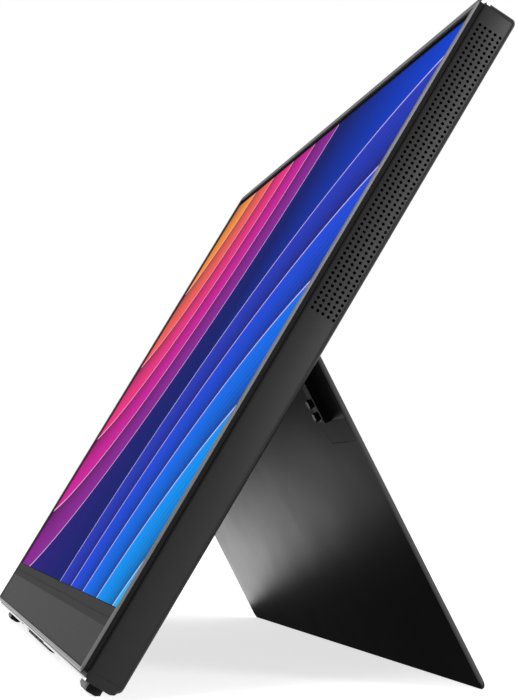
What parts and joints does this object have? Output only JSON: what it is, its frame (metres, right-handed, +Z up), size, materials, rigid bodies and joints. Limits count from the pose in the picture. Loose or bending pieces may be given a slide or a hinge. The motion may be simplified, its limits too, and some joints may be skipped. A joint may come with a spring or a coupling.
{
  "type": "portable monitor",
  "caption": "Slim portable monitor leaning back on a wide kickstand hinged to its back, with a perforated side grille, rubber feet and sprung keys in its bottom edge.",
  "frame": {"origin": "middle of the box's bottom face, on the table top that the monitor stands on", "axes": "+X to the right as seen from the front, +Y from the screen towards the stand, +Z up"},
  "size_m": [0.325, 0.116, 0.1827],
  "materials": {
    "shell": "satin dark grey, fine grain",
    "frame": "satin grey, lighter polished edge",
    "chin": "dark anodised, fine brushed lines",
    "strip": "matt black",
    "glass": "clear, anti-glare",
    "screen": "lit picture of plain colour bands",
    "backlight": "white sheet stack",
    "chassis": "plain rolled sheet",
    "stand": "dark anodised, bead blasted",
    "hinge": "black oxide",
    "hinge_cover": "satin dark grey",
    "steel": "bright steel",
    "rubber": "matt, fine grain",
    "key": "satin, softened edges",
    "board": "green solder mask",
    "speaker": "matt black",
    "socket": "drawn steel shell"
  },
  "bodies": {
    "monitor": {"front_frame": "frame", "chin_plate": "chin", "chin_strip": "strip", "cover_glass": "glass", "lcd_panel": "screen", "backlight_tray": "backlight", "chassis_plate": "chassis", "rear_cover": "shell", "side_grille": "shell", "data_port_lower": "socket", "data_port_upper": "socket", "video_port": "socket", "main_board": "board", "speaker": "speaker", "key_bezel": "shell", "key_board": "board", "bracket_screws": "steel", "chassis_screws": "steel", "foot_left": "rubber", "foot_right": "rubber", "hinge_bracket_left": "hinge", "hinge_bracket_right": "hinge", "hinge_pin_left": "steel", "hinge_pin_right": "steel"},
    "stand": {"stand_plate": "stand", "leaf_rivets": "steel", "hinge_leaf_left": "hinge", "hinge_leaf_right": "hinge", "hinge_cover_left": "hinge_cover", "hinge_cover_right": "hinge_cover"},
    "key_1": {"key_1": "key"},
    "key_2": {"key_2": "key"},
    "key_3": {"key_3": "key"},
    "key_4": {"key_4": "key"},
    "key_5": {"key_5": "key"}
  },
  "joints": [
    {"name": "stand_hinge", "type": "hinge", "parent": "monitor", "child": "stand", "pos_m": [0, 0.00207, 0.08788], "axis": [1, 0, 0], "range_deg": [-58.31, 16.6]},
    {"name": "key_1_press", "type": "slide", "parent": "monitor", "child": "key_1", "axis": [0, 0.5195, 0.8545], "range_m": [0, 0.0004], "stiffness_N_per_m": 1500},
    {"name": "key_2_press", "type": "slide", "parent": "monitor", "child": "key_2", "axis": [0, 0.5195, 0.8545], "range_m": [0, 0.0004], "stiffness_N_per_m": 1500},
    {"name": "key_3_press", "type": "slide", "parent": "monitor", "child": "key_3", "axis": [0, 0.5195, 0.8545], "range_m": [0, 0.0004], "stiffness_N_per_m": 1500},
    {"name": "key_4_press", "type": "slide", "parent": "monitor", "child": "key_4", "axis": [0, 0.5195, 0.8545], "range_m": [0, 0.0004], "stiffness_N_per_m": 1500},
    {"name": "key_5_press", "type": "slide", "parent": "monitor", "child": "key_5", "axis": [0, 0.5195, 0.8545], "range_m": [0, 0.0004], "stiffness_N_per_m": 1500}
  ]
}
